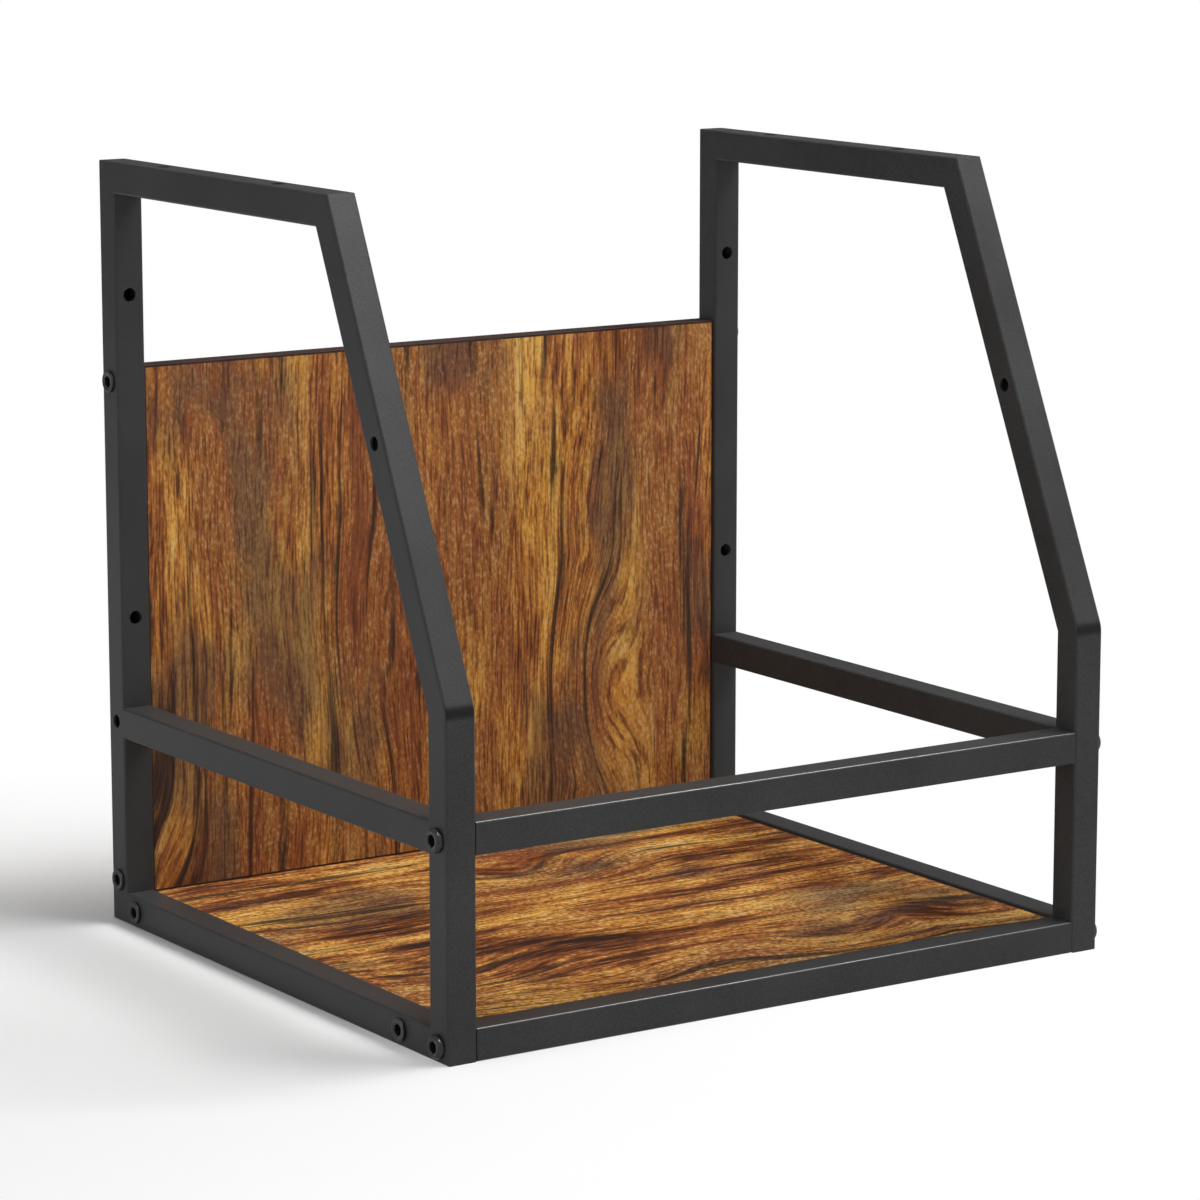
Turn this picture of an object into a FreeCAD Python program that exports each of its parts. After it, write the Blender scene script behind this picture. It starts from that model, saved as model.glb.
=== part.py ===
import FreeCAD, Part
import math
import os

# A crate for long-play records: two side frames of square steel tube, joined by two front
# rails, a floor board and a back panel. Millimetres; +X is to the right, +Y to the back and
# +Z up, from the middle of the base.

# Overall size, over the two side frames
crate_width = 360.0
crate_depth = 310.0
crate_height = 368.0

# Square tube of the whole frame
tube = 15.0
tube_wall = 1.2
tube_corner = 1.2

# Side frame: the front leg rises to its bend, then leans back to the top tube
bend_height = 155.4
bend_radius = 12.0
top_setback = 96.5
mid_rail_height = 98.8
weld_lip = 0.9

# Floor board, centred on the bottom tubes, and back panel, centred on the rear uprights
board_thickness = 12.0
board_front_gap = 0.5
panel_thickness = 12.0
panel_height = 257.0
edge_band = 1.0

# Bolts through the side frames; the clearances are on the radius
shank_dia = 6.0
shank_chamfer = 0.6
hole_clearance = 0.25
thread_clearance = 0.1
socket_width = 5.0
rail_head_dia = 11.0
rail_head_height = 3.2
rail_dome_height = 2.1
rail_dome_width = 1.2
rail_socket_depth = 2.4
rail_bolt_reach = 8.0
wood_head_dia = 10.5
wood_head_height = 1.6
wood_dome_height = 0.5
wood_dome_width = 0.45
wood_socket_depth = 1.3
wood_bolt_reach = 13.0

# Where the bolts of the two boards sit, from the ends of those boards
board_bolt_inset = 24.0
panel_bolt_inset = 7.0

# Threaded pieces that the bolts screw into
nut_plate_thickness = 6.0
nut_plate_clearance = 0.1
insert_dia = 8.5
insert_length = 16.0
insert_clearance = 0.1
insert_bore_spare = 2.0

# Empty holes: for a second crate on top, for a wall, and for a crate on either side
stack_hole_dia = 6.5
stack_hole_from_front = 55.4
stack_hole_from_rear = 51.6
wall_hole_dia = 6.5
wall_hole_from_floor = 150.0
wall_hole_from_top = 63.0
link_hole_dia = 6.5
rear_link_height = 98.8
leg_link_height = 263.7

# Places that follow from the sizes above
front = -crate_depth / 2
rear = crate_depth / 2
inside = crate_width / 2 - tube
board_front = front + tube + board_front_gap
board_low = (tube - board_thickness) / 2
board_top = board_low + board_thickness
panel_front = rear - (tube + panel_thickness) / 2
panel_rear = panel_front + panel_thickness
panel_top = board_top + panel_height
side_frames = {"left": -crate_width / 2, "right": inside}

# Corners of a side frame's outline, as (y, z), from the front foot round to the rear foot
outline = [
    (front, 0.0),
    (front, bend_height),
    (front + top_setback, crate_height),
    (rear, crate_height),
    (rear, 0.0),
]
front_foot, bend, top_front, top_rear, rear_foot = range(len(outline))

# Axes of the bolts, as (y, z)
lower_rail_axis = (front + tube / 2, tube / 2)
mid_rail_axis = (front + tube / 2, mid_rail_height)
board_axes = [(y, tube / 2) for y in (board_front + board_bolt_inset, rear - board_bolt_inset)]
panel_axes = [(rear - tube / 2, z) for z in (board_top + panel_bolt_inset, panel_top - panel_bolt_inset)]

bolt_hole_dia = shank_dia + 2 * hole_clearance
thread_dia = shank_dia + 2 * thread_clearance
insert_bore_dia = insert_dia + 2 * insert_clearance

# A drill starts one tube outside the tube that it passes through, and ends one tube past it
drill_length = 3 * tube
hexagon_sides = 6
tolerance = 1e-4


def box(low, high):
    """Block between two opposite corners."""
    size = [b - a for a, b in zip(low, high)]
    return Part.makeBox(*size, FreeCAD.Vector(*low))


def rod(start, direction, dia, length):
    """Round bar from a point, along a direction."""
    return Part.makeCylinder(dia / 2, length, FreeCAD.Vector(*start), FreeCAD.Vector(*direction))


def frame_corner(index, depth):
    """Corner of the side frame's outline, moved inward by depth, as (y, z)."""
    here = outline[index]
    legs = ((outline[index - 1], here), (here, outline[(index + 1) % len(outline)]))
    normals = []
    for start, end in legs:
        length = math.dist(start, end)
        normals.append(((end[1] - start[1]) / length, (start[0] - end[0]) / length))
    (ay, az), (by, bz) = normals
    reach = depth / (1 + ay * by + az * bz)
    return here[0] + reach * (ay + by), here[1] + reach * (az + bz)


def leg_middle(height):
    """Place, along Y, of the leaning leg's middle line at a height."""
    low = frame_corner(bend, tube / 2)
    high = frame_corner(top_front, tube / 2)
    return low[0] + (height - low[1]) * (high[0] - low[0]) / (high[1] - low[1])


def bar(corners, depth, x_low):
    """Mitred bar along some corners of the side frame, its faces depth inside the tube's."""
    path = [frame_corner(i, depth) for i in corners]
    path += [frame_corner(i, tube - depth) for i in reversed(corners)]
    points = [FreeCAD.Vector(x_low + depth, y, z) for y, z in path + path[:1]]
    solid = Part.Face(Part.makePolygon(points)).extrude(FreeCAD.Vector(tube - 2 * depth, 0, 0))
    if bend in corners:
        y, z = frame_corner(bend, depth)
        at_bend = [e for e in solid.Edges
                   if all(math.dist((v.Y, v.Z), (y, z)) < tolerance for v in e.Vertexes)]
        solid = solid.makeFillet(bend_radius - depth, at_bend)
    return solid


def rounded_bar(corners, x_low):
    """Mitred bar with the tube's outer shape: rounded along its length, sharp at its ends."""
    solid = bar(corners, 0, x_low)
    mitres = [frame_corner(i, tube / 2) for i in (corners[0], corners[-1])]
    along = []
    for edge in solid.Edges:
        middle = (edge.CenterOfMass.y, edge.CenterOfMass.z)
        on_mitre = any(math.dist(middle, mitre) < tolerance for mitre in mitres)
        if edge.BoundBox.XLength < tolerance and not on_mitre:
            along.append(edge)
    return solid.makeFillet(tube_corner, along)


def rounded_block(low, high, axis):
    """Block rounded along the edges that run in one axis (0 for X, 1 for Y, 2 for Z)."""
    solid = box(low, high)
    lengths = ("XLength", "YLength", "ZLength")
    full = high[axis] - low[axis]
    along = [e for e in solid.Edges if abs(getattr(e.BoundBox, lengths[axis]) - full) < tolerance]
    return solid.makeFillet(tube_corner, along)


def drill_side(solid, x_low, axes, dia):
    """Drill holes across a side frame, along X, at each (y, z)."""
    for y, z in axes:
        solid = solid.cut(rod((x_low - tube, y, z), (1, 0, 0), dia, drill_length))
    return solid


def frame_tube(corners, x_low):
    """Hollow mitred tube along some corners of the side frame."""
    return rounded_bar(corners, x_low).cut(bar(corners, tube_wall, x_low))


def front_leg(x_low):
    """Front leg: one tube from the floor up to the bend, and back to the top tube."""
    solid = frame_tube([front_foot, bend, top_front], x_low)
    solid = drill_side(solid, x_low, [lower_rail_axis, mid_rail_axis], bolt_hole_dia)
    return drill_side(solid, x_low, [(leg_middle(leg_link_height), leg_link_height)], link_hole_dia)


def top_tube(x_low):
    """Top tube, with the holes for a crate stacked on this one."""
    solid = frame_tube([top_front, top_rear], x_low)
    for y in (outline[top_front][0] + stack_hole_from_front, rear - stack_hole_from_rear):
        start = (x_low + tube / 2, y, crate_height - 2 * tube)
        solid = solid.cut(rod(start, (0, 0, 1), stack_hole_dia, drill_length))
    return solid


def rear_upright(x_low):
    """Rear upright, with the back panel's bolt holes, the wall holes and a link hole."""
    solid = frame_tube([top_rear, rear_foot], x_low)
    solid = drill_side(solid, x_low, panel_axes, bolt_hole_dia)
    solid = drill_side(solid, x_low, [(rear - tube / 2, rear_link_height)], link_hole_dia)
    for z in (wall_hole_from_floor, crate_height - wall_hole_from_top):
        start = (x_low + tube / 2, rear - 2 * tube, z)
        solid = solid.cut(rod(start, (0, 1, 0), wall_hole_dia, drill_length))
    return solid


def bottom_tube(x_low):
    """Bottom tube, with the floor board's bolt holes; the front corner's hole crosses its mitre."""
    solid = frame_tube([rear_foot, front_foot], x_low)
    return drill_side(solid, x_low, board_axes + [lower_rail_axis], bolt_hole_dia)


def mid_rail(x_low):
    """Side rail between leg and upright; its ends are shaped over their rounded corners."""
    low = (x_low, front + tube - weld_lip, mid_rail_height - tube / 2)
    high = (x_low + tube, rear - tube + weld_lip, mid_rail_height + tube / 2)
    solid = rounded_block(low, high, 1)
    solid = solid.cut(rounded_bar([front_foot, bend, top_front], x_low))
    solid = solid.cut(rounded_bar([top_rear, rear_foot], x_low))
    hollow_low = (x_low + tube_wall, front, low[2] + tube_wall)
    hollow_high = (x_low + tube - tube_wall, rear, high[2] - tube_wall)
    return solid.cut(box(hollow_low, hollow_high))


def front_rail(height):
    """Rail across the front, between the two legs, open at its ends for the nut plates."""
    low = (-inside, front, height - tube / 2)
    high = (inside, front + tube, height + tube / 2)
    hollow_low = (-inside, front + tube_wall, low[2] + tube_wall)
    hollow_high = (inside, front + tube - tube_wall, high[2] - tube_wall)
    return rounded_block(low, high, 0).cut(box(hollow_low, hollow_high))


def nut_plates(height):
    """Threaded plates welded into the two ends of a front rail."""
    half = tube / 2 - tube_wall - nut_plate_clearance
    y = front + tube / 2
    plates = []
    for x in (-inside, inside - nut_plate_thickness):
        plate = box((x, y - half, height - half), (x + nut_plate_thickness, y + half, height + half))
        plates.append(plate.cut(rod((x, y, height), (1, 0, 0), thread_dia, nut_plate_thickness)))
    return plates


def insert_bores(axes):
    """Cutters for the blind bores that hold the inserts, in both sides of a board."""
    depth = insert_length + insert_bore_spare
    cutters = []
    for y, z in axes:
        cutters.append(rod((-inside, y, z), (1, 0, 0), insert_bore_dia, depth))
        cutters.append(rod((inside, y, z), (-1, 0, 0), insert_bore_dia, depth))
    return cutters


def inserts(axes):
    """Threaded inserts, flush with both sides of a board."""
    sleeves = []
    for y, z in axes:
        for x in (-inside, inside - insert_length):
            sleeve = rod((x, y, z), (1, 0, 0), insert_dia, insert_length)
            sleeves.append(sleeve.cut(rod((x, y, z), (1, 0, 0), thread_dia, insert_length)))
    return sleeves


def board_and_bands(low, high, flat, axes):
    """Board with banded edges: its core and its four bands; flat is the axis across its faces."""
    core_low = [a if i == flat else a + edge_band for i, a in enumerate(low)]
    core_high = [b if i == flat else b - edge_band for i, b in enumerate(high)]
    core = box(core_low, core_high)
    length = 3 - flat
    bands = [
        box(low, [core_low[length] if i == length else b for i, b in enumerate(high)]),
        box([core_high[length] if i == length else a for i, a in enumerate(low)], high),
        box([low[0], *core_low[1:]], [core_low[0], *core_high[1:]]),
        box([core_high[0], *core_low[1:]], [high[0], *core_high[1:]]),
    ]
    bores = insert_bores(axes)
    return core.cut(bores), [band.cut(bores) for band in bands]


def bolt(head_dia, head_height, dome_height, dome_width, socket_depth, reach):
    """Socket bolt along +X, with the underside of its head at the origin."""
    end = tube + reach
    shank = shank_dia / 2
    outline_points = [
        (dome_height - head_height, head_dia / 2),
        (0, head_dia / 2),
        (0, shank),
        (end - shank_chamfer, shank),
        (end, shank - shank_chamfer),
        (end, 0),
        (-head_height, 0),
        (-head_height, head_dia / 2 - dome_width),
    ]
    points = [FreeCAD.Vector(x, radius, 0) for x, radius in outline_points]
    edges = Part.makePolygon(points).Edges + [dome_arc(points[-1], points[0])]
    profile = Part.Face(Part.Wire(edges))
    solid = profile.revolve(FreeCAD.Vector(), FreeCAD.Vector(1, 0, 0), 360)
    return solid.cut(hexagon_socket(head_height, socket_depth))


def dome_arc(face, rim):
    """Arc from the edge of a bolt head's face to its rim, which it meets along the bolt's axis."""
    rise = rim.x - face.x
    drop = rim.y - face.y
    radius = (rise ** 2 + drop ** 2) / (2 * drop)
    half = math.atan2(drop, rise)
    middle = FreeCAD.Vector(rim.x - radius * math.sin(half), rim.y - radius * (1 - math.cos(half)), 0)
    return Part.Arc(face, middle, rim).toShape()


def hexagon_socket(head_height, socket_depth):
    """Cutter for the key's socket in a bolt's head."""
    step = 2 * math.pi / hexagon_sides
    reach = socket_width / 2 / math.cos(step / 2)
    turns = [step * i for i in range(hexagon_sides + 1)]
    points = [FreeCAD.Vector(-head_height, reach * math.sin(a), reach * math.cos(a)) for a in turns]
    return Part.Face(Part.makePolygon(points)).extrude(FreeCAD.Vector(socket_depth, 0, 0))


def bolts(pattern, axes):
    """One bolt at each (y, z) on both sides of the crate, heads outward."""
    placed = []
    for y, z in axes:
        left = pattern.copy()
        left.translate(FreeCAD.Vector(-crate_width / 2, y, z))
        right = pattern.copy()
        right.rotate(FreeCAD.Vector(), FreeCAD.Vector(0, 0, 1), 180)
        right.translate(FreeCAD.Vector(crate_width / 2, y, z))
        placed += [left, right]
    return placed


def build():
    """Every piece of the crate, by name; a list is a group of like pieces."""
    pieces = {}
    for side, x_low in side_frames.items():
        pieces[f"{side}_front_leg"] = front_leg(x_low)
        pieces[f"{side}_top_tube"] = top_tube(x_low)
        pieces[f"{side}_rear_upright"] = rear_upright(x_low)
        pieces[f"{side}_bottom_tube"] = bottom_tube(x_low)
        pieces[f"{side}_mid_rail"] = mid_rail(x_low)

    pieces["front_lower_rail"] = front_rail(tube / 2)
    pieces["front_lower_rail_nut_plates"] = nut_plates(tube / 2)
    pieces["front_mid_rail"] = front_rail(mid_rail_height)
    pieces["front_mid_rail_nut_plates"] = nut_plates(mid_rail_height)

    board, board_bands = board_and_bands(
        (-inside, board_front, board_low), (inside, rear, board_top), 2, board_axes)
    pieces["floor_board"] = board
    pieces["floor_board_edge_bands"] = board_bands
    pieces["floor_board_inserts"] = inserts(board_axes)

    panel, panel_bands = board_and_bands(
        (-inside, panel_front, board_top), (inside, panel_rear, panel_top), 1, panel_axes)
    pieces["back_panel"] = panel
    pieces["back_panel_edge_bands"] = panel_bands
    pieces["back_panel_inserts"] = inserts(panel_axes)

    rail_bolt = bolt(
        rail_head_dia, rail_head_height, rail_dome_height, rail_dome_width,
        rail_socket_depth, rail_bolt_reach)
    wood_bolt = bolt(
        wood_head_dia, wood_head_height, wood_dome_height, wood_dome_width,
        wood_socket_depth, wood_bolt_reach)
    pieces["rail_bolts"] = bolts(rail_bolt, [lower_rail_axis, mid_rail_axis])
    pieces["floor_board_bolts"] = bolts(wood_bolt, board_axes)
    pieces["back_panel_bolts"] = bolts(wood_bolt, panel_axes)
    return pieces


def export(pieces):
    """Write one file for each named piece."""
    os.makedirs("parts", exist_ok=True)
    for name, piece in pieces.items():
        shape = Part.makeCompound(piece) if isinstance(piece, list) else piece
        shape.exportStep(os.path.join("parts", f"{name}.step"))


export(build())
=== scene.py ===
"""Looks of the record storage crate: its finishes, bolts, light and camera around the CAD frame.

Lengths are metres in the frame's own axes: +X to the right, +Y to the back and +Z up.
"""

import logging
import math
from dataclasses import dataclass, field, replace
from enum import Enum
from typing import ClassVar

import bmesh
import bpy
from mathutils import Matrix, Vector


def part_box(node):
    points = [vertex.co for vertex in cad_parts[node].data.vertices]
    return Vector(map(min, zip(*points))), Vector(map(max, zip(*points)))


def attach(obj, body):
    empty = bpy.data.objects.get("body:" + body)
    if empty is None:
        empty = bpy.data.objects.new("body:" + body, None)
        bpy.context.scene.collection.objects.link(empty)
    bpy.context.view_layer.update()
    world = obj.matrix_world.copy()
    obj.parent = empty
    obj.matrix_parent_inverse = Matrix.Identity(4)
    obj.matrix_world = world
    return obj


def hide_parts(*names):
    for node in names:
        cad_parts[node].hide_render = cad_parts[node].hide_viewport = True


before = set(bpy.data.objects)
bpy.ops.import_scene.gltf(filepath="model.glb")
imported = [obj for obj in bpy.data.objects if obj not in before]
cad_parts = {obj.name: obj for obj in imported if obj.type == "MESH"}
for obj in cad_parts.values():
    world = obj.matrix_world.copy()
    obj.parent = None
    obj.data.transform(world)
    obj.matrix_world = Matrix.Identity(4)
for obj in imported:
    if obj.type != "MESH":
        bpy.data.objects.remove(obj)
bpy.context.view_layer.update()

log = logging.getLogger("crate")
MM = 0.001
BODY = "root"
WHITE = (1.0, 1.0, 1.0, 1.0)
DUST_ON_COAT = "#8f8c86"
DUST_ON_WOOD = "#a89c8c"

Socket = bpy.types.NodeSocket
Colour = tuple[float, float, float, float]
Triple = tuple[float, float, float]


def add_object(name: str, data: bpy.types.ID) -> bpy.types.Object:
    """A new object in the scene, made of the data.

    Args:
        name: Its name.
        data: What it is made of: a mesh, a lamp or a camera.

    Returns:
        The object.
    """
    made = bpy.data.objects.new(name, data)
    bpy.context.scene.collection.objects.link(made)
    return made


def grey(level: float) -> Colour:
    """Linear grey for a shader socket."""
    return (level, level, level, 1.0)


def tint(code: str) -> Colour:
    """Linear colour of a screen colour, by the sRGB curve.

    Args:
        code: The colour as "#rrggbb".

    Returns:
        Red, green, blue and alpha for a shader socket.
    """
    shares = [int(code[i:i + 2], 16) / 255 for i in (1, 3, 5)]
    linear = [s / 12.92 if s <= 0.04045 else ((s + 0.055) / 1.055) ** 2.4 for s in shares]
    return (*linear, 1.0)


class Graph:
    """Adds nodes to one shader tree and links them.

    The mix sockets are those of Blender's Mix node for colours: share, first and second.
    """

    mix_sockets = (0, 6, 7)
    mix_result = 2

    def __init__(self, tree: bpy.types.NodeTree) -> None:
        """Keep the tree that nodes are added to."""
        self.tree = tree

    def feed(self, socket: Socket, value: object) -> None:
        """Link a socket to another, or set its value.

        Args:
            socket: The input to feed.
            value: An output socket, or a plain value.
        """
        if isinstance(value, bpy.types.NodeSocket):
            self.tree.links.new(value, socket)
        else:
            socket.default_value = value

    def node(self, kind: str, inputs: dict[str | int, object] | None = None,
             **settings: object) -> bpy.types.Node:
        """Add a node.

        Args:
            kind: Blender's name for the node.
            inputs: What feeds its sockets, by name or number.
            settings: Its own settings.

        Returns:
            The new node.
        """
        made = self.tree.nodes.new(kind)
        for name, value in settings.items():
            setattr(made, name, value)
        for key, value in (inputs or {}).items():
            self.feed(made.inputs[key], value)
        return made

    def math(self, operation: str, first: object, second: object = 0.0, third: object = 0.0) -> Socket:
        """Result of a sum on up to three numbers."""
        return self.node("ShaderNodeMath", {0: first, 1: second, 2: third}, operation=operation).outputs[0]

    def vector(self, operation: str, first: object, second: object) -> Socket:
        """Result of a sum on two vectors."""
        return self.node("ShaderNodeVectorMath", {0: first, 1: second}, operation=operation).outputs[0]

    def mix(self, share: object, first: object, second: object) -> Socket:
        """Mix of two colours.

        Args:
            share: How much of the second shows.
            first: The colour underneath.
            second: The colour on top.

        Returns:
            The mixed colour.
        """
        made = self.node("ShaderNodeMix", data_type="RGBA")
        for index, value in zip(self.mix_sockets, (share, first, second)):
            self.feed(made.inputs[index], value)
        return made.outputs[self.mix_result]

    def ease(self, value: object, low: float, high: float, start: float = 0.0, end: float = 1.0) -> Socket:
        """Smooth step of a number.

        Args:
            value: The number.
            low: Where the step begins.
            high: Where it ends.
            start: The result up to low.
            end: The result from high.

        Returns:
            The stepped number.
        """
        inputs = {"Value": value, "From Min": low, "From Max": high, "To Min": start, "To Max": end}
        return self.node("ShaderNodeMapRange", inputs, interpolation_type="SMOOTHSTEP").outputs[0]

    def noise(self, vector: object, scale: object, detail: float = 2.0,
              roughness: float = 0.5) -> bpy.types.Node:
        """Soft random texture over a vector, with "Fac" and "Color" outputs."""
        inputs = {"Vector": vector, "Scale": scale, "Detail": detail, "Roughness": roughness}
        return self.node("ShaderNodeTexNoise", inputs)

    def ramp(self, value: object, stops: tuple[tuple[float, str], ...]) -> Socket:
        """Colour along a scale.

        Args:
            value: Place on the scale.
            stops: Places with their screen colours, in order.

        Returns:
            The colour there.
        """
        made = self.node("ShaderNodeValToRGB", {"Fac": value})
        points = made.color_ramp.elements
        while len(points) < len(stops):
            points.new(0.5)
        for point, (place, code) in zip(points, stops):
            point.position = place
            point.color = tint(code)
        return made.outputs["Color"]

    def axis(self, vector: Socket, name: str) -> Socket:
        """One axis of a vector."""
        return self.node("ShaderNodeSeparateXYZ", {0: vector}).outputs[name]

    def normal(self) -> Socket:
        """The surface's normal."""
        return self.node("ShaderNodeNewGeometry").outputs["Normal"]


def blank_material(name: str) -> tuple[bpy.types.Material, Graph]:
    """A new material without nodes, and the graph that fills it.

    Args:
        name: Its name.

    Returns:
        The material and its graph.
    """
    material = bpy.data.materials.new(name)
    material.use_nodes = True
    material.node_tree.nodes.clear()
    return material, Graph(material.node_tree)


class SocketKind(Enum):
    """What a node group's socket carries."""

    VALUE = "NodeSocketFloat"
    VECTOR = "NodeSocketVector"
    COLOUR = "NodeSocketColor"


class Effect:
    """A shader node group that several finishes share: built once, and placed with each one's values."""

    name: str = ""
    takes: dict[str, SocketKind] = {}
    gives: dict[str, SocketKind] = {}

    def wire(self, graph: Graph, given: dict[str, Socket]) -> dict[str, Socket]:
        """Add the effect's nodes.

        Args:
            graph: The group's tree.
            given: Its inputs by name.

        Returns:
            What feeds its outputs, by name.
        """
        raise NotImplementedError

    def tree(self) -> bpy.types.NodeTree:
        """The group's tree, made at its first use.

        Returns:
            The tree.
        """
        found = bpy.data.node_groups.get(self.name)
        if found:
            return found
        tree = bpy.data.node_groups.new(self.name, "ShaderNodeTree")
        for in_out, sockets in (("INPUT", self.takes), ("OUTPUT", self.gives)):
            for name, kind in sockets.items():
                tree.interface.new_socket(name, in_out=in_out, socket_type=kind.value)
        graph = Graph(tree)
        entry = graph.node("NodeGroupInput")
        results = self.wire(graph, {name: entry.outputs[name] for name in self.takes})
        graph.node("NodeGroupOutput", results)
        return tree

    def place(self, graph: Graph, **values: object) -> dict[str, Socket]:
        """Add the group to a material.

        Args:
            graph: The material's tree.
            values: What feeds its inputs, by name.

        Returns:
            Its outputs by name.
        """
        made = graph.node("ShaderNodeGroup", node_tree=self.tree())
        for name, value in values.items():
            graph.feed(made.inputs[name], value)
        return {name: made.outputs[name] for name in self.gives}


class CoatTexture(Effect):
    """Skin of a sprayed or moulded surface: a fine grain over a slower ripple."""

    name = "coat_texture"
    takes = {"Vector": SocketKind.VECTOR, "Grain": SocketKind.VALUE, "Ripple": SocketKind.VALUE}
    gives = {"Height": SocketKind.VALUE, "Speckle": SocketKind.VALUE, "Mottle": SocketKind.VALUE}
    mottle_scale = 21.0
    grain_height = 0.45

    def wire(self, graph: Graph, given: dict[str, Socket]) -> dict[str, Socket]:
        """Fine and slow noises; the inputs are bumps per metre.

        Args:
            graph: The group's tree.
            given: Its inputs by name.

        Returns:
            What feeds its outputs, by name.
        """
        place = given["Vector"]
        grain = graph.noise(place, given["Grain"], detail=2.0, roughness=0.6).outputs["Fac"]
        ripple = graph.noise(place, given["Ripple"], detail=1.0).outputs["Fac"]
        mottle = graph.noise(place, self.mottle_scale, detail=3.0).outputs["Fac"]
        height = graph.math("MULTIPLY_ADD", grain, self.grain_height, ripple)
        return {"Height": height, "Speckle": grain, "Mottle": mottle}


class LooseDust(Effect):
    """Thin dust on what faces up, in soft patches."""

    name = "loose_dust"
    takes = {"Vector": SocketKind.VECTOR, "Amount": SocketKind.VALUE}
    gives = {"Mask": SocketKind.VALUE}
    patch_scale = 34.0
    speck_scale = 900.0

    def wire(self, graph: Graph, given: dict[str, Socket]) -> dict[str, Socket]:
        """Upward faces, times patches, times specks.

        Args:
            graph: The group's tree.
            given: Its inputs by name.

        Returns:
            What feeds its outputs, by name.
        """
        place = given["Vector"]
        patches = graph.noise(place, self.patch_scale, detail=3.0).outputs["Fac"]
        specks = graph.noise(place, self.speck_scale, detail=1.0).outputs["Fac"]
        mask = graph.math("MULTIPLY", graph.ease(graph.axis(graph.normal(), "Z"), low=0.35, high=1.0),
                          graph.ease(patches, low=0.35, high=0.75))
        mask = graph.math("MULTIPLY", mask, graph.ease(specks, low=0.4, high=0.7, start=0.4, end=1.0))
        return {"Mask": graph.math("MULTIPLY", mask, given["Amount"])}


class FoldPaintedShade(Effect):
    """Painted shade across the front of a bent tube, where it folds: a band that darkens the coat's colour.
    """

    name = "fold_painted_shade"
    takes = {"Vector": SocketKind.VECTOR, "Height": SocketKind.VALUE, "Reach": SocketKind.VALUE}
    gives = {"Mask": SocketKind.VALUE}

    def wire(self, graph: Graph, given: dict[str, Socket]) -> dict[str, Socket]:
        """A soft band of painted shade, up to the reach above and below the fold's height, on what faces the
        front.

        Args:
            graph: The group's tree.
            given: Its inputs by name.

        Returns:
            What feeds its outputs, by name.
        """
        rise = graph.math("SUBTRACT", graph.axis(given["Vector"], "Z"), given["Height"])
        away = graph.math("DIVIDE", graph.math("ABSOLUTE", rise), given["Reach"])
        band = graph.ease(away, low=1.0, high=0.2)
        front = graph.ease(graph.axis(graph.normal(), "Y"), low=-0.5, high=-0.85)
        return {"Mask": graph.math("MULTIPLY", band, front)}


@dataclass(frozen=True)
class Lines:
    """Random lines along a grain: their change along and across it, per metre, and their fine detail."""

    lengthwise: float
    across: float
    detail: float


@dataclass(frozen=True)
class Patches:
    """Random patches: how many per metre across a grain, how much slower along it, and their fine detail."""

    scale: float
    squeeze: float
    detail: float


@dataclass(frozen=True)
class Stain:
    """Colour that covers another where a value passes from low to high, up to a share of it."""

    code: str
    low: float
    high: float
    share: float = 1.0

    def lay(self, graph: Graph, under: Socket, value: Socket, *gates: Socket) -> Socket:
        """Lay the stain over a colour.

        Args:
            graph: The group's tree.
            under: The colour underneath.
            value: What decides where the stain shows.
            gates: Masks that thin it.

        Returns:
            The stained colour.
        """
        mask = graph.ease(value, self.low, self.high, 0.0, self.share)
        for gate in gates:
            mask = graph.math("MULTIPLY", mask, gate)
        return graph.mix(mask, under, tint(self.code))


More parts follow.
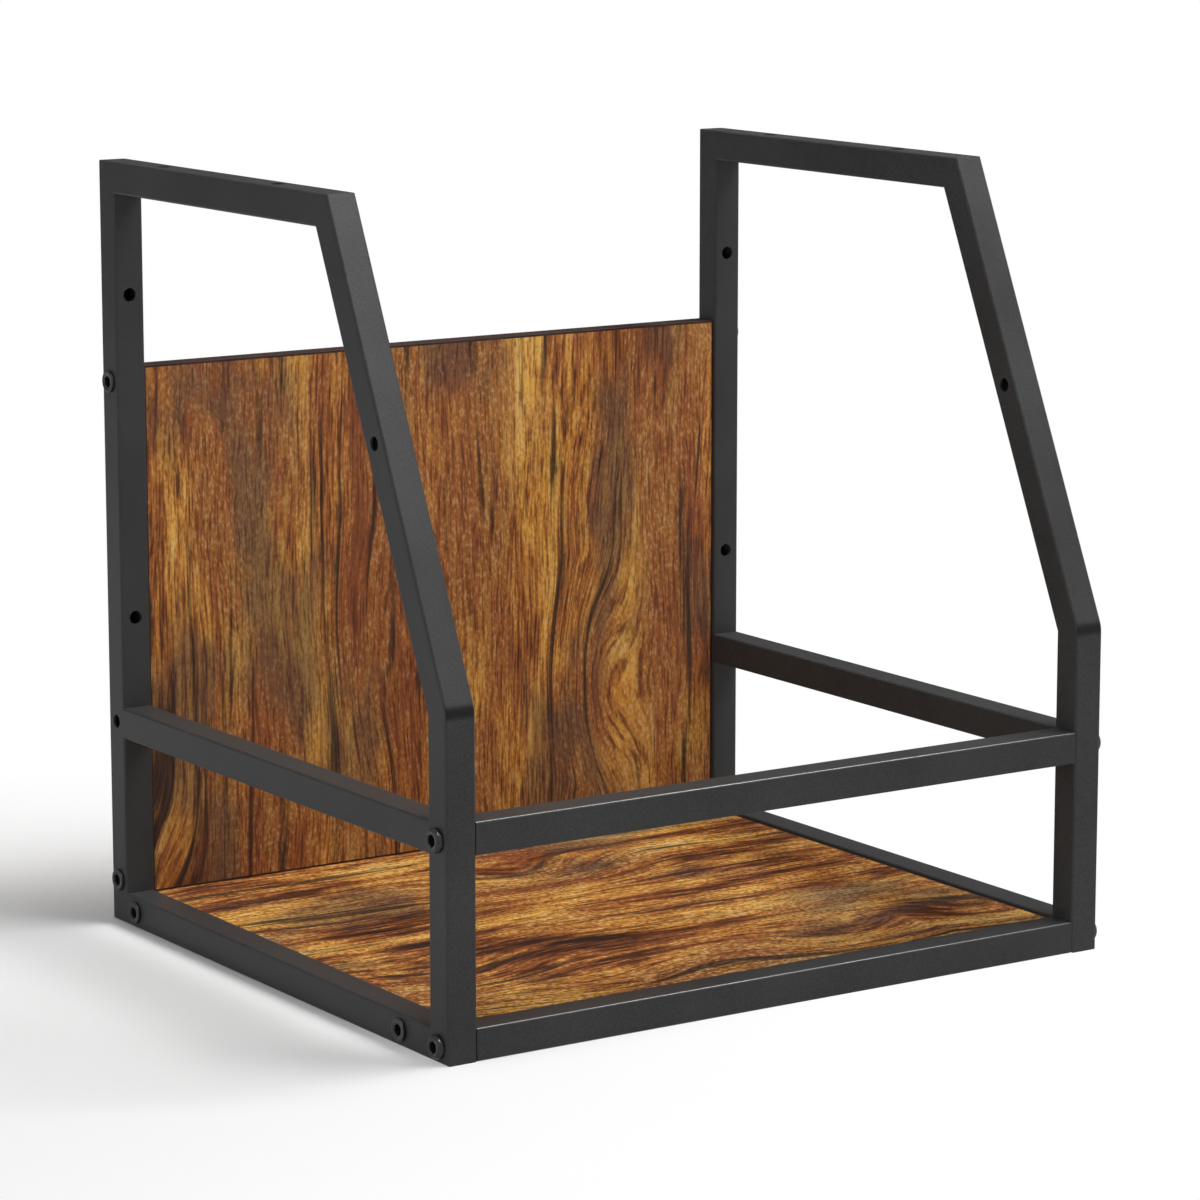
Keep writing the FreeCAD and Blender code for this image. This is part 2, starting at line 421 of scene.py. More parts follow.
class WoodGrain(Effect):
    """Rustic brown wood print: swirling figure, grain lines, charred streaks, knots, flecks and pores."""

    name = "wood_grain"
    takes = {"Vector": SocketKind.VECTOR, "Figure": SocketKind.VALUE, "Flecks": SocketKind.VALUE}
    gives = {"Color": SocketKind.COLOUR, "Grain": SocketKind.VALUE, "Height": SocketKind.VALUE}

    # Layers of the print
    drift = Patches(scale=20.0, squeeze=0.5, detail=2.0)
    figure = Lines(lengthwise=15.0, across=80.0, detail=3.0)
    grain = Lines(lengthwise=38.0, across=520.0, detail=3.0)
    streak = Lines(lengthwise=7.0, across=210.0, detail=4.0)
    fibre = Lines(lengthwise=105.0, across=1150.0, detail=2.0)
    speck = Patches(scale=950.0, squeeze=0.7, detail=2.0)
    flush = Patches(scale=21.0, squeeze=0.5, detail=3.0)
    smoke = Patches(scale=33.0, squeeze=0.5, detail=3.0)
    noise_roughness = 0.55

    # How much each layer lifts the tone, from a base, and how far it stands out
    drift_in_figure = 0.5
    figure_middle = 0.75
    figure_tone = 0.42
    grain_tone = 0.32
    fibre_tone = 0.24
    base_tone = 0.22
    grain_height = 0.4
    fibre_height = 0.6

    # Tones from dark to light, and the stains over them
    tones = ((0.32, "#281a14"), (0.39, "#63371f"), (0.455, "#a05d2c"),
             (0.515, "#ca8938"), (0.58, "#e1ab50"), (0.66, "#edc884"))
    red_flush = Stain("#8c4e2e", low=0.42, high=0.60, share=0.72)
    gold_fleck = Stain("#ecc88c", low=0.51, high=0.66)
    fleck_tones = (0.40, 0.54)
    grey_smoke = Stain("#4a3f39", low=0.49, high=0.64, share=0.55)
    charred_streak = Stain("#2b221d", low=0.56, high=0.66, share=0.85)
    dark_fibre = Stain("#2c1d16", low=0.47, high=0.36, share=0.45)
    dark_pore = Stain("#2f211b", low=0.47, high=0.34)
    knot_rim = Stain("#a8481a", low=0.50, high=0.86, share=0.5)
    knot_heart = Stain("#241610", low=0.84, high=1.0, share=0.8)

    # Swirl of the figure, and the knots that it bends round
    along_squeeze = (0.55, 1.0, 1.0)
    swirl_scale = 14.0
    swirl_middle = (0.5, 0.5, 0.5)
    swirl_reach = (0.03, 0.017, 0.017)
    knot_scale = 15.0
    knot_chance = (0.62, 0.66)
    heart_reach = 0.15
    bulge_reach = 0.45
    bulge_height = 0.018

    def wire(self, graph: Graph, given: dict[str, Socket]) -> dict[str, Socket]:
        """The figure follows one value, whose level lines run along X and bend round the knots.

        Args:
            graph: The group's tree.
            given: Its inputs by name.

        Returns:
            What feeds its outputs, by name.
        """
        flow, course, knot = self.find_course(graph, given["Vector"])
        grain = self.lines(graph, flow, course, self.grain)
        fibre = self.lines(graph, flow, course, self.fibre)
        speck = self.patches(graph, flow, self.speck)
        level = self.level(graph, flow, course, given["Figure"])
        level = graph.math("MULTIPLY_ADD", grain, self.grain_tone, level)
        level = graph.math("MULTIPLY_ADD", fibre, self.fibre_tone, level)

        colour = graph.ramp(level, self.tones)
        colour = self.red_flush.lay(graph, colour, self.patches(graph, flow, self.flush))
        light = graph.ease(level, *self.fleck_tones)
        colour = self.gold_fleck.lay(graph, colour, speck, given["Flecks"], light)
        colour = self.grey_smoke.lay(graph, colour, self.patches(graph, flow, self.smoke))
        colour = self.charred_streak.lay(graph, colour, self.lines(graph, flow, course, self.streak))
        colour = self.dark_fibre.lay(graph, colour, fibre)
        colour = self.dark_pore.lay(graph, colour, speck, given["Flecks"])
        colour = self.knot_rim.lay(graph, colour, knot)
        colour = self.knot_heart.lay(graph, colour, knot)
        height = graph.math("ADD", graph.math("MULTIPLY", grain, self.grain_height),
                            graph.math("MULTIPLY", fibre, self.fibre_height))
        return {"Color": colour, "Grain": level, "Height": height}

    def level(self, graph: Graph, flow: Socket, course: Socket, strength: Socket) -> Socket:
        """Slow tone of the figure, before the grain.

        Args:
            graph: The group's tree.
            flow: The swirled point.
            course: The value whose level lines the figure follows.
            strength: How strong the figure is.

        Returns:
            The tone.
        """
        drift = self.patches(graph, flow, self.drift)
        figure = self.lines(graph, flow, course, self.figure)
        slow = graph.math("MULTIPLY_ADD", drift, self.drift_in_figure, figure)
        slow = graph.math("SUBTRACT", slow, self.figure_middle)
        slow = graph.math("MULTIPLY", slow, strength)
        return graph.math("MULTIPLY_ADD", slow, self.figure_tone, self.base_tone)

    def find_course(self, graph: Graph, place: Socket) -> tuple[Socket, Socket, Socket]:
        """Swirled place, and the value whose level lines are the grain.

        Args:
            graph: The group's tree.
            place: The surface point, its X along the grain.

        Returns:
            The swirled point, the value there, and how near a knot's heart it is.
        """
        squeezed = graph.vector("MULTIPLY", place, self.along_squeeze)
        slow = graph.noise(squeezed, self.swirl_scale, detail=2.0).outputs["Color"]
        swirl = graph.vector("SUBTRACT", slow, self.swirl_middle)
        flow = graph.vector("ADD", place, graph.vector("MULTIPLY", swirl, self.swirl_reach))
        cells = graph.node("ShaderNodeTexVoronoi", {
            "Vector": graph.vector("MULTIPLY", flow, self.along_squeeze),
            "Scale": self.knot_scale, "Randomness": 1.0}).outputs
        bulge = graph.ease(cells["Distance"], self.bulge_reach, 0.0)
        heart = graph.ease(cells["Distance"], self.heart_reach, 0.0)
        chance = graph.node("ShaderNodeSeparateColor", {0: cells["Color"]}).outputs[0]
        knot = graph.math("MULTIPLY", heart, graph.ease(chance, *self.knot_chance))
        bend = graph.math("MULTIPLY", bulge, self.bulge_height)
        return flow, graph.math("ADD", graph.axis(flow, "Y"), bend), knot

    def lines(self, graph: Graph, flow: Socket, course: Socket, kind: Lines) -> Socket:
        """Random lines that follow the grain's course.

        Args:
            graph: The group's tree.
            flow: The swirled point.
            course: The value whose level lines they follow.
            kind: How they run.

        Returns:
            Their value.
        """
        made = graph.node("ShaderNodeCombineXYZ", {
            "X": graph.math("MULTIPLY", graph.axis(flow, "X"), kind.lengthwise),
            "Y": graph.math("MULTIPLY", course, kind.across),
            "Z": graph.math("MULTIPLY", graph.axis(flow, "Z"), kind.across)})
        return graph.noise(made.outputs[0], 1.0, kind.detail, self.noise_roughness).outputs["Fac"]

    def patches(self, graph: Graph, flow: Socket, kind: Patches) -> Socket:
        """Random patches, longer along the grain.

        Args:
            graph: The group's tree.
            flow: The swirled point.
            kind: How they spread.

        Returns:
            Their value.
        """
        place = graph.vector("MULTIPLY", flow, (kind.squeeze, 1.0, 1.0))
        return graph.noise(place, kind.scale, kind.detail, self.noise_roughness).outputs["Fac"]


class GrainRun(Enum):
    """Which way a board's grain runs: the frame axes that serve as along, across and through."""

    LEVEL = ("X", "Y", "Z")
    UPRIGHT = ("Z", "X", "Y")


@dataclass(frozen=True)
class Finish:
    """What every finish has: its name and its gloss.

    A texture counts as all dark up to the first of its limits, and as all light from the second.
    """

    name: str
    roughness: float
    specular: float
    limits: ClassVar[tuple[float, float]] = (0.3, 0.7)

    def start(self) -> tuple[Graph, bpy.types.Node, Socket]:
        """Begin the material.

        Returns:
            Its graph, its shader, and the surface point in the frame's metres.
        """
        _, graph = blank_material(self.name)
        shader = graph.node("ShaderNodeBsdfPrincipled", {"Specular IOR Level": self.specular})
        graph.node("ShaderNodeOutputMaterial", {"Surface": shader.outputs[0]})
        return graph, shader, graph.node("ShaderNodeTexCoord").outputs["Object"]

    def blend(self, graph: Graph, value: Socket, dark: str, light: str) -> Socket:
        """Colour between dark and light by a texture.

        Args:
            graph: The material's graph.
            value: The texture.
            dark: Screen colour where it is low.
            light: Screen colour where it is high.

        Returns:
            The colour.
        """
        return graph.mix(graph.ease(value, *self.limits), tint(dark), tint(light))

    def gloss(self, graph: Graph, value: Socket, low: float, high: float) -> Socket:
        """Roughness that shifts by low to high with a texture."""
        return graph.ease(value, *self.limits, self.roughness + low, self.roughness + high)

    def bump(self, graph: Graph, shader: bpy.types.Node, height: Socket, depth: float) -> None:
        """Raise the shading by a height.

        Args:
            graph: The material's graph.
            shader: Its shader.
            height: The height, from 0 to 1.
            depth: How far 1 stands out, in metres.
        """
        made = graph.node("ShaderNodeBump", {"Height": height, "Distance": depth, "Strength": 1.0})
        graph.feed(shader.inputs["Normal"], made.outputs[0])

    def material(self) -> bpy.types.Material:
        """The finished material, made at its first use.

        Returns:
            The material.
        """
        if self.name not in bpy.data.materials:
            graph, shader, place = self.start()
            self.paint(graph, shader, place)
        return bpy.data.materials[self.name]

    def paint(self, graph: Graph, shader: bpy.types.Node, place: Socket) -> None:
        """Add the finish's own nodes.

        Args:
            graph: The material's graph.
            shader: Its shader.
            place: The surface point.
        """
        raise NotImplementedError


@dataclass(frozen=True)
class SprayedBlack(Finish):
    """Matte black skin, such as powder coat on steel or black oxide on a bolt."""

    dark: str
    light: str
    grain: float
    ripple: float
    depth: float
    dust: float
    # A fold height above 0 paints a band of shade across the bend, in the fold's given colour.
    fold_height: float = 0.0
    fold_reach: float = 4.2 * MM
    fold_painted_shade_colour: str = "#212121"
    speckle_share: ClassVar[float] = 0.7
    mottle_share: ClassVar[float] = 0.3
    dust_dulls: ClassVar[float] = 0.3

    def paint(self, graph: Graph, shader: bpy.types.Node, place: Socket) -> None:
        """Speckled black with a textured skin and a breath of dust, and a band of painted shade at a fold.

        Args:
            graph: The material's graph.
            shader: Its shader.
            place: The surface point.
        """
        skin = CoatTexture().place(graph, Vector=place, Grain=self.grain, Ripple=self.ripple)
        dust = LooseDust().place(graph, Vector=place, Amount=self.dust)["Mask"]
        tone = graph.math("ADD", graph.math("MULTIPLY", skin["Speckle"], self.speckle_share),
                          graph.math("MULTIPLY", skin["Mottle"], self.mottle_share))
        colour = self.blend(graph, tone, self.dark, self.light)
        # Painted shade: a dark band across the front of the bend, mixed into the base colour.
        if self.fold_height:
            fold = FoldPaintedShade().place(graph, Vector=place, Height=self.fold_height, Reach=self.fold_reach)
            colour = graph.mix(fold["Mask"], colour, tint(self.fold_painted_shade_colour))
        graph.feed(shader.inputs["Base Color"], graph.mix(dust, colour, tint(DUST_ON_COAT)))
        gloss = self.gloss(graph, skin["Mottle"], low=-0.04, high=0.04)
        dull = graph.math("MULTIPLY", dust, self.dust_dulls)
        graph.feed(shader.inputs["Roughness"], graph.math("ADD", gloss, dull))
        self.bump(graph, shader, skin["Height"], self.depth)


@dataclass(frozen=True)
class WoodPrint(Finish):
    """Wood-grain laminate, satin, with its grain pressed a little into the face."""

    run: GrainRun
    offset: Triple
    scale: Triple
    figure: float
    flecks: float
    depth: float
    dust: float

    def paint(self, graph: Graph, shader: bpy.types.Node, place: Socket) -> None:
        """The shared wood grain, turned to this board's run.

        Args:
            graph: The material's graph.
            shader: Its shader.
            place: The surface point.
        """
        axes = {i: graph.axis(place, name) for i, name in enumerate(self.run.value)}
        turned = graph.node("ShaderNodeCombineXYZ", axes)
        moved = graph.vector("ADD", graph.vector("MULTIPLY", turned.outputs[0], self.scale), self.offset)
        wood = WoodGrain().place(graph, Vector=moved, Figure=self.figure, Flecks=self.flecks)
        dust = LooseDust().place(graph, Vector=place, Amount=self.dust)["Mask"]
        graph.feed(shader.inputs["Base Color"], graph.mix(dust, wood["Color"], tint(DUST_ON_WOOD)))
        graph.feed(shader.inputs["Roughness"], self.gloss(graph, wood["Grain"], low=0.08, high=-0.06))
        self.bump(graph, shader, wood["Height"], self.depth)


@dataclass(frozen=True)
class EdgeStrip(Finish):
    """Dark brown plastic strip glued round a board's edge, faintly grained."""

    dark: str
    light: str
    depth: float
    streak_stretch: ClassVar[Triple] = (0.08, 1.0, 1.0)
    streak_scale: ClassVar[float] = 700.0

    def paint(self, graph: Graph, shader: bpy.types.Node, place: Socket) -> None:
        """Long soft streaks under a fine moulded skin.

        Args:
            graph: The material's graph.
            shader: Its shader.
            place: The surface point.
        """
        skin = CoatTexture().place(graph, Vector=place, Grain=1800.0, Ripple=300.0)
        stretched = graph.vector("MULTIPLY", place, self.streak_stretch)
        streaks = graph.noise(stretched, self.streak_scale, detail=3.0).outputs["Fac"]
        graph.feed(shader.inputs["Base Color"], self.blend(graph, streaks, self.dark, self.light))
        graph.feed(shader.inputs["Roughness"], self.gloss(graph, skin["Mottle"], low=-0.05, high=0.05))
        self.bump(graph, shader, skin["Height"], self.depth)


@dataclass(frozen=True)
class ZincPlate(Finish):
    """Plain zinc-plated steel of the threaded pieces inside."""

    dark: str
    light: str
    depth: float

    def paint(self, graph: Graph, shader: bpy.types.Node, place: Socket) -> None:
        """Cloudy plate with fine turning marks.

        Args:
            graph: The material's graph.
            shader: Its shader.
            place: The surface point.
        """
        skin = CoatTexture().place(graph, Vector=place, Grain=3000.0, Ripple=500.0)
        shader.inputs["Metallic"].default_value = 1.0
        graph.feed(shader.inputs["Base Color"], self.blend(graph, skin["Mottle"], self.dark, self.light))
        graph.feed(shader.inputs["Roughness"], self.gloss(graph, skin["Speckle"], low=-0.06, high=0.06))
        self.bump(graph, shader, skin["Height"], self.depth)


FRAME_COAT = SprayedBlack(
    name="charcoal_powder_coat", roughness=0.34, specular=0.06, dark="#363636", light="#434343",
    grain=1900.0, ripple=800.0, depth=0.00006, dust=0.015)
# Coat of the bent front legs, with a band of painted shade at the bend.
BENT_COAT_PAINTED_SHADE = replace(FRAME_COAT, name="bent_coat_painted_shade", fold_height=154.8 * MM)
BOLT_BLACK = SprayedBlack(
    name="black_oxide", roughness=0.3, specular=0.25, dark="#222222", light="#333333",
    grain=3600.0, ripple=900.0, depth=0.00002, dust=0.01)
# Near-black inside the bolts' sockets: painted shade in the recess, darker than the head's black oxide.
SOCKET_PAINTED_SHADE = SprayedBlack(
    name="socket_painted_shade", roughness=0.6, specular=0.05, dark="#020202", light="#060606",
    grain=3600.0, ripple=900.0, depth=0.00002, dust=0.0)
FLOOR_WOOD = WoodPrint(
    name="rustic_floor_laminate", roughness=0.74, specular=0.02, run=GrainRun.LEVEL,
    offset=(0.31, 0.12, 0.0), scale=(0.62, 0.60, 1.0), figure=1.45, flecks=0.62, depth=0.00012, dust=0.02)
PANEL_WOOD = WoodPrint(
    name="rustic_panel_laminate", roughness=0.7, specular=0.06, run=GrainRun.UPRIGHT,
    offset=(1.7, 0.4, 0.2), scale=(0.55, 0.75, 1.0), figure=0.8, flecks=0.3, depth=0.00012, dust=0.0)
BAND_BROWN = EdgeStrip(
    name="dark_brown_edge_strip", roughness=0.5, specular=0.12, dark="#24130d", light="#3a221a",
    depth=0.00003)
INSERT_ZINC = ZincPlate(
    name="zinc_plate", roughness=0.36, specular=0.5, dark="#9a9c9e", light="#c2c3c2", depth=0.00002)


def dress(node: str, finish: Finish) -> None:
    """Give a CAD node its finish.

    Args:
        node: The node's name.
        finish: What it is finished with.
    """
    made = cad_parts[node]
    for slot in made.material_slots:
        slot.material = finish.material()
    log.info("dressed %s in %s", node, finish.name)


class Side(Enum):
    """The crate's two sides, with the way that each one's outside faces along X."""

    LEFT = -1
    RIGHT = 1


@dataclass
class SideFrame:
    """Welded side frame of five square tubes."""

    side: Side
    tubes: tuple[str, ...] = ("top_tube", "rear_upright", "bottom_tube", "mid_rail")

    def build(self) -> None:
        """Dress the bent leg and the straight tubes."""
        side = self.side.name.lower()
        dress(f"{side}_front_leg", BENT_COAT_PAINTED_SHADE)
        for tube in self.tubes:
            dress(f"{side}_{tube}", FRAME_COAT)


@dataclass
class FrontRails:
    """The two rails across the front, with the threaded plates in their ends."""

    rails: tuple[str, ...] = ("front_lower_rail", "front_mid_rail")

    def build(self) -> None:
        """Dress the rails and plates."""
        for rail in self.rails:
            dress(rail, FRAME_COAT)
            dress(f"{rail}_nut_plates", INSERT_ZINC)


@dataclass
class BandedBoard:
    """Laminated board with a strip round its edges and threaded inserts in its ends."""

    name: str
    wood: WoodPrint
    edge_radius: float = 0.45 * MM
    edge_steps: int = 3
    join_reach: float = 0.001 * MM

    def build(self) -> None:
        """Dress the board, its strips and its inserts, and round the strips' edges."""
        dress(self.name, self.wood)
        dress(f"{self.name}_inserts", INSERT_ZINC)
        dress(f"{self.name}_edge_bands", BAND_BROWN)
        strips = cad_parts[f"{self.name}_edge_bands"]
        join = strips.modifiers.new("join_faces", "WELD")
        join.merge_threshold = self.join_reach
        rounding = strips.modifiers.new("round_edges", "BEVEL")
        rounding.width = self.edge_radius
        rounding.segments = self.edge_steps
        rounding.limit_method = "ANGLE"
        rounding.harden_normals = True


@dataclass
class SocketBolts:
    """Bolts with a hexagon socket, one at each corner of their node's box; they replace that node.

    The places, the head's radius and height and the bolt's length are the node's, read when it is built.
    The rest are sizes in metres, apart from the counts and the span, in head radii, that holds one bolt only.
    """

    node: str
    dome_height: float
    dome_width: float
    socket_depth: float
    socket_width: float = 5.0 * MM
    socket_bevel: float = 0.3 * MM
    drill_radius: float = 5.0 * MM / 6
    rim_bevel: float = 0.2 * MM
    tip_bevel: float = 0.6 * MM
    shank_radius: float = 3.0 * MM
    thread_root: float = 2.5 * MM
    pitch: float = 1.0 * MM
    steps_per_pitch: int = 6
    dome_steps: int = 8
    socket_rings: int = 3
    segments: int = 48
    one_place_span: float = 2.5
    head_radius: float = field(init=False)
    head_height: float = field(init=False)
    length: float = field(init=False)

    def build(self) -> bpy.types.Object:
        """Make the bolts as one piece that stands for the node.

        Returns:
            The new piece.
        """
        low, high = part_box(self.node)
        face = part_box("right_front_leg")[1].x
        self.head_radius = min(high.y - low.y, high.z - low.z) / 2
        self.head_height = high.x - face
        points = [v.co.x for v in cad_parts[self.node].data.vertices]
        self.length = face - min(x for x in points if x > 0)
        mesh = bmesh.new()
        for y in self.axes(low.y, high.y):
            for z in self.axes(low.z, high.z):
                for side in Side:
                    turn = Matrix.Rotation(side.value * math.pi / 2, 4, "Y")
                    self.add_bolt(mesh, Matrix.Translation((side.value * face, y, z)) @ turn)
        data = bpy.data.meshes.new(f"{self.node}_turned")
        mesh.to_mesh(data)
        mesh.free()
        # The second material is the painted shade inside the sockets.
        for finish in (BOLT_BLACK, SOCKET_PAINTED_SHADE):
            data.materials.append(finish.material())
        piece = add_object(f"{self.node}_turned", data)
        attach(piece, BODY)
        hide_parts(self.node)
        log.info("built %s, %d faces", piece.name, len(data.polygons))
        return piece

    def axes(self, low: float, high: float) -> list[float]:
        """Bolt places between a box's two sides: one, or one by each side.

        Args:
            low: The box's lower side.
            high: Its upper side.

        Returns:
            The places.
        """
        if high - low < self.one_place_span * self.head_radius:
            return [(low + high) / 2]
        return [low + self.head_radius, high - self.head_radius]

    def add_bolt(self, mesh: bmesh.types.BMesh, place: Matrix) -> None:
        """Add one bolt.

        Args:
            mesh: The mesh that it joins.
            place: Where its head's underside sits, with the head along the local +Z.
        """
        rings = [self.add_ring(mesh, place, radii, z) for radii, z in self.shape()]
        socket = len(rings) - self.socket_rings
        for number, (first, second) in enumerate(zip(rings, rings[1:])):
            for i in range(self.segments):
                j = (i + 1) % self.segments
                made = mesh.faces.new((first[i], first[j], second[j], second[i]))
                made.smooth = True
                # Faces down inside the socket take the second material, its painted shade.
                made.material_index = int(number >= socket)
        mesh.faces.new(list(reversed(rings[0])))
        # The socket's floor also takes the painted shade.
        mesh.faces.new(rings[-1]).material_index = 1

    def add_ring(self, mesh: bmesh.types.BMesh, place: Matrix,
                 radii: list[float], z: float) -> list[bmesh.types.BMVert]:
        """Add one ring of points.

        Args:
            mesh: The mesh that they join.
            place: The bolt's place.
            radii: Each point's distance from the axis.
            z: Their height on the axis.

        Returns:
            The points.
        """
        points = []
        for i, radius in enumerate(radii):
            angle = 2 * math.pi * i / self.segments
            point = Vector((radius * math.cos(angle), radius * math.sin(angle), z))
            points.append(mesh.verts.new(place @ point))
        return points

    def shape(self) -> list[tuple[list[float], float]]:
        """Rings from the bolt's tip to its socket's floor: each point's radius, and the ring's height.

        Returns:
            The rings in order.
        """
        top = self.head_height
        rim = top - self.dome_height
        face = self.head_radius - self.dome_width
        mouth = self.socket_width / 2 / math.cos(math.pi / 6) + self.socket_bevel
        rings = [(self.round_ring(self.thread_root - self.tip_bevel / 2), -self.length)]
        rings += self.thread()
        rings += [
            (self.round_ring(self.shank_radius), 0.0),
            (self.round_ring(self.head_radius - self.rim_bevel), 0.0),
            (self.round_ring(self.head_radius), self.rim_bevel),
        ]
        half = math.atan2(self.dome_width, self.dome_height)
        radius = (self.dome_height ** 2 + self.dome_width ** 2) / (2 * self.dome_width)
        for step in range(self.dome_steps + 1):
            angle = 2 * half * step / self.dome_steps
            edge = self.head_radius - radius * (1 - math.cos(angle))
            rings.append((self.round_ring(edge), rim + radius * math.sin(angle)))
        rings += [
            (self.round_ring(face - self.rim_bevel), top),
            (self.round_ring(mouth), top),
            (self.hexagon_ring(self.socket_width / 2), top - self.socket_bevel),
            (self.hexagon_ring(self.socket_width / 2), top - self.socket_depth),
            (self.round_ring(self.drill_radius), top - self.socket_depth - self.socket_bevel),
        ]
        return rings

    def thread(self) -> list[tuple[list[float], float]]:
        """Rings of the thread, from the tip's bevel to just under the side frame's inner wall.

        Returns:
            The rings in order.
        """
        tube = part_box("left_top_tube")[1].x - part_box("left_top_tube")[0].x
        start = -self.length + self.tip_bevel
        count = round((self.length - self.tip_bevel - tube) / self.pitch * self.steps_per_pitch)
        depth = self.shank_radius - self.thread_root
        rings = []
        for step in range(count + 1):
            turn = step / self.steps_per_pitch
            crests = [abs((turn + i / self.segments) % 1.0 - 0.5) * 2 for i in range(self.segments)]
            rings.append(([self.thread_root + depth * crest for crest in crests], start + turn * self.pitch))
        rings.append((self.round_ring(self.shank_radius), rings[-1][1] + self.pitch / 2))
        return rings

    def round_ring(self, radius: float) -> list[float]:
        """The same radius all round."""
        return [radius] * self.segments

    def hexagon_ring(self, apothem: float) -> list[float]:
        """Radii of a hexagon, whose flats are the apothem from the axis.

        Args:
            apothem: Half the width across its flats.

        Returns:
            Each point's radius.
        """
        sector = math.pi / 3
        angles = [2 * math.pi * i / self.segments for i in range(self.segments)]
        return [apothem / math.cos(angle % sector - sector / 2) for angle in angles]


@dataclass
class SoftBox:
    """Square studio lamp that faces a point."""

    name: str
    place: Triple
    size: float
    power: float
    gloss_only: bool = False
    aim: Triple = (0.0, 0.0, 0.18)

    def build(self) -> None:
        """Add the lamp."""
        data = bpy.data.lights.new(self.name, "AREA")
        data.shape = "SQUARE"
        data.size = self.size
        data.energy = self.power
        lamp = add_object(self.name, data)
        lamp.location = self.place
        lamp.visible_camera = False
        lamp.visible_diffuse = not self.gloss_only
        lamp.rotation_euler = (Vector(self.aim) - Vector(self.place)).to_track_quat("-Z", "Y").to_euler()
        log.info("lit %s", self.name)


@dataclass
class ShadeCard:
    """Upright grey card behind the crate, out of the picture, that only shows in the gloss."""

    name: str
    place: Triple
    width: float
    height: float
    level: float

    def build(self) -> None:
        """Stand the card up, square to the crate."""
        middle = Vector(self.place)
        across = Vector((middle.y, -middle.x, 0.0)).normalized() * self.width / 2
        rise = Vector((0.0, 0.0, self.height / 2))
        low, high = middle - rise, middle + rise
        data = bpy.data.meshes.new(self.name)
        data.from_pydata([low - across, low + across, high + across, high - across], [], [(0, 1, 2, 3)])
        card = add_object(self.name, data)
        card.visible_camera = False
        card.visible_diffuse = False
        card.visible_shadow = False

        material, graph = blank_material(self.name)
        matte = graph.node("ShaderNodeBsdfDiffuse", {"Color": grey(self.level)})
        graph.node("ShaderNodeOutputMaterial", {"Surface": matte.outputs[0]})
        data.materials.append(material)
        log.info("stood %s", card.name)


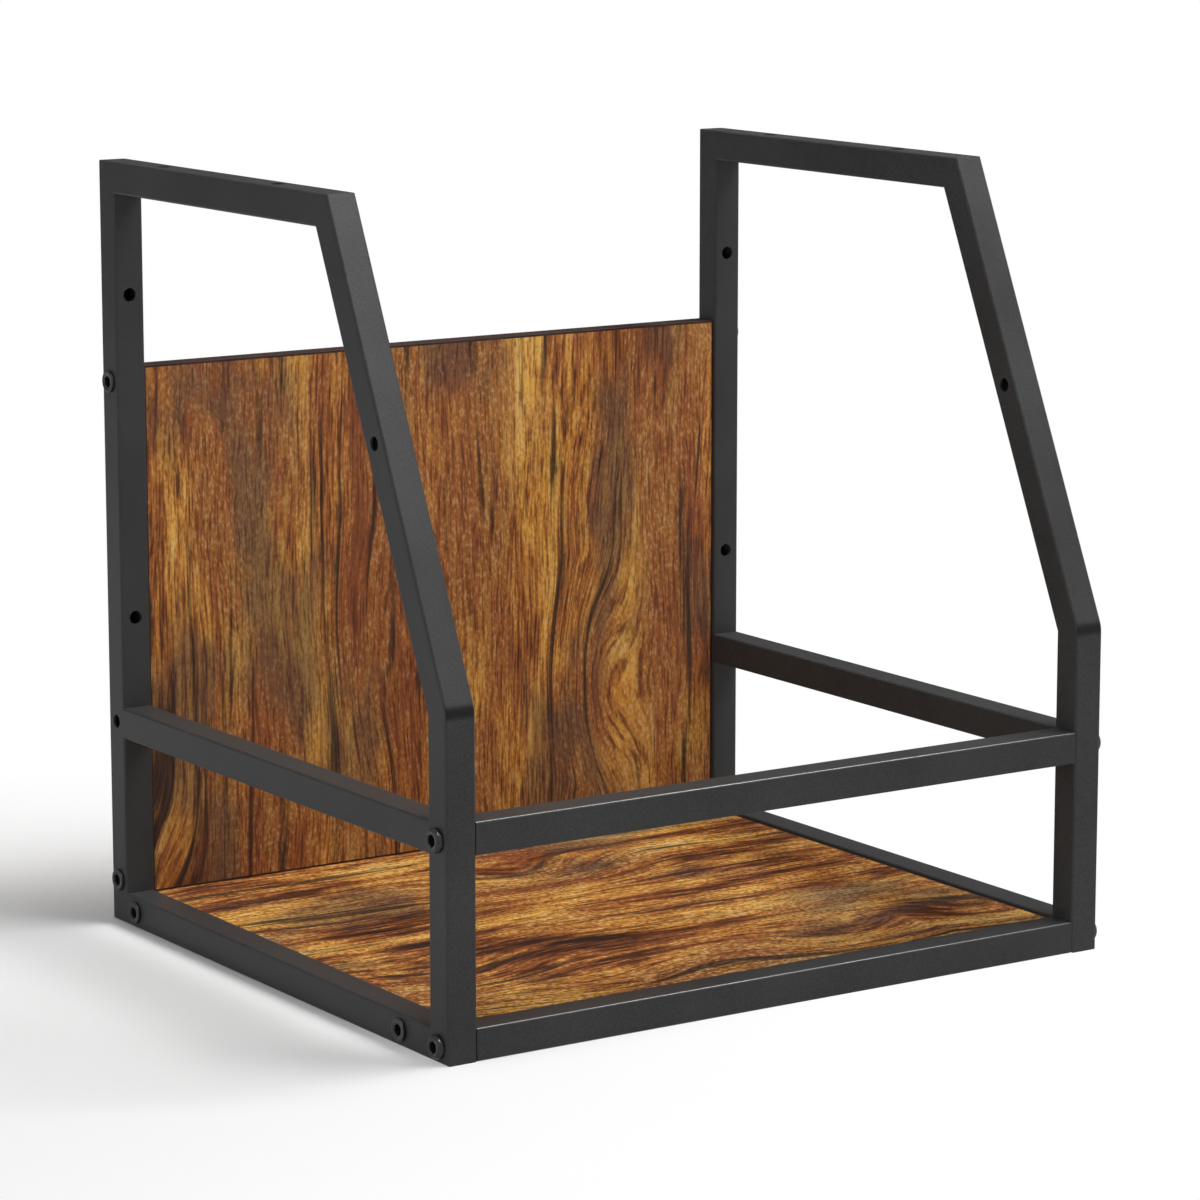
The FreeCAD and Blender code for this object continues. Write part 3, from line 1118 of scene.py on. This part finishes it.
@dataclass
class Studio:
    """White floor and surround, soft lamps, and the camera at the photograph's angle."""

    floor_reach: float = 6.0
    floor_fade: tuple[float, float] = (0.22, 0.52)
    floor_pool: Triple = (-0.40, 0.10, 0.0)
    floor_white: float = 0.97
    surround: float = 0.32
    eye: Triple = (-1.15263, -1.74061, 0.54440)
    turn_deg: float = 33.54
    dip_deg: float = 10.37
    lens: float = 134.5
    sensor: float = 36.0
    lamps: tuple[SoftBox, ...] = (
        SoftBox("key_softbox", place=(0.80, -0.50, 1.95), size=1.1, power=36.0),
        SoftBox("edge_softbox", place=(1.08, -0.30, 1.75), size=0.3, power=180.0, gloss_only=True),
        SoftBox("slope_softbox", place=(0.67, -1.37, 1.61), size=0.5, power=16.0, gloss_only=True),
        SoftBox("bolt_softbox", place=(-0.40, -0.90, 2.00), size=0.3, power=40.0, gloss_only=True),
        SoftBox("left_softbox", place=(-1.60, -0.20, 0.60), size=1.4, power=5.5),
    )
    cards: tuple[ShadeCard, ...] = (
        ShadeCard("right_card", place=(0.87, 1.34, 0.85), width=3.2, height=1.6, level=0.11),
        ShadeCard("left_card", place=(-0.72, 1.31, 0.58), width=1.6, height=1.0, level=0.30),
    )

    def build(self) -> None:
        """Set up the floor, light and camera."""
        self.lay_floor()
        self.light()
        self.aim_camera()
        bpy.context.scene.view_settings.view_transform = "Standard"

    def seen(self, graph: Graph) -> Socket:
        """1 for the camera's own rays and those that a mirror or glass passes on.

        Args:
            graph: The tree that asks.

        Returns:
            The mask.
        """
        path = graph.node("ShaderNodeLightPath").outputs
        shown = graph.math("MAXIMUM", path["Is Camera Ray"], path["Is Glossy Ray"])
        return graph.math("MAXIMUM", shown, path["Is Transmission Ray"])

    def lay_floor(self) -> None:
        """Add a white floor that holds the shadow near the crate and fades to pure white."""
        mesh = bmesh.new()
        bmesh.ops.create_grid(mesh, x_segments=1, y_segments=1, size=self.floor_reach)
        data = bpy.data.meshes.new("studio_floor")
        mesh.to_mesh(data)
        mesh.free()
        floor = add_object("studio_floor", data)

        material, graph = blank_material("studio_white")
        matte = graph.node("ShaderNodeBsdfDiffuse", {"Color": grey(self.floor_white)})
        glow = graph.node("ShaderNodeEmission", {"Color": WHITE, "Strength": 1.0})
        place = graph.node("ShaderNodeTexCoord").outputs["Object"]
        span = graph.vector("SUBTRACT", place, self.floor_pool)
        reach = graph.node("ShaderNodeVectorMath", {0: span}, operation="LENGTH").outputs["Value"]
        share = graph.math("MULTIPLY", graph.ease(reach, *self.floor_fade), self.seen(graph))
        mixed = graph.node("ShaderNodeMixShader", {0: share, 1: matte.outputs[0], 2: glow.outputs[0]})
        graph.node("ShaderNodeOutputMaterial", {"Surface": mixed.outputs[0]})
        data.materials.append(material)
        log.info("laid %s", floor.name)

    def light(self) -> None:
        """Add the pale surround, the lamps and the cards."""
        world = bpy.data.worlds.new("studio_surround")
        world.use_nodes = True
        world.node_tree.nodes.clear()
        graph = Graph(world.node_tree)
        strength = graph.ease(self.seen(graph), low=0.0, high=1.0, start=self.surround, end=1.0)
        backdrop = graph.node("ShaderNodeBackground", {"Color": WHITE, "Strength": strength})
        graph.node("ShaderNodeOutputWorld", {"Surface": backdrop.outputs[0]})
        bpy.context.scene.world = world
        for piece in (*self.lamps, *self.cards):
            piece.build()

    def aim_camera(self) -> None:
        """Add the camera where the photograph was taken from."""
        data = bpy.data.cameras.new("photo_camera")
        data.lens = self.lens
        data.sensor_width = self.sensor
        camera = add_object("photo_camera", data)
        camera.location = self.eye
        camera.rotation_euler = (math.radians(90 - self.dip_deg), 0.0, math.radians(-self.turn_deg))
        bpy.context.scene.camera = camera
        log.info("aimed %s", camera.name)


def main() -> None:
    """Dress and build the crate's sub-assemblies, then the studio round it."""
    logging.basicConfig()
    log.setLevel(logging.INFO)
    parts = [
        *(SideFrame(side) for side in Side),
        FrontRails(),
        BandedBoard("floor_board", FLOOR_WOOD),
        BandedBoard("back_panel", PANEL_WOOD),
        SocketBolts("rail_bolts", dome_height=2.1 * MM, dome_width=1.2 * MM, socket_depth=3.6 * MM),
        SocketBolts("floor_board_bolts", dome_height=0.5 * MM, dome_width=0.45 * MM, socket_depth=2.6 * MM),
        SocketBolts("back_panel_bolts", dome_height=0.5 * MM, dome_width=0.45 * MM, socket_depth=2.6 * MM),
        Studio(),
    ]
    for part in parts:
        part.build()


if __name__ == "__main__":
    main()
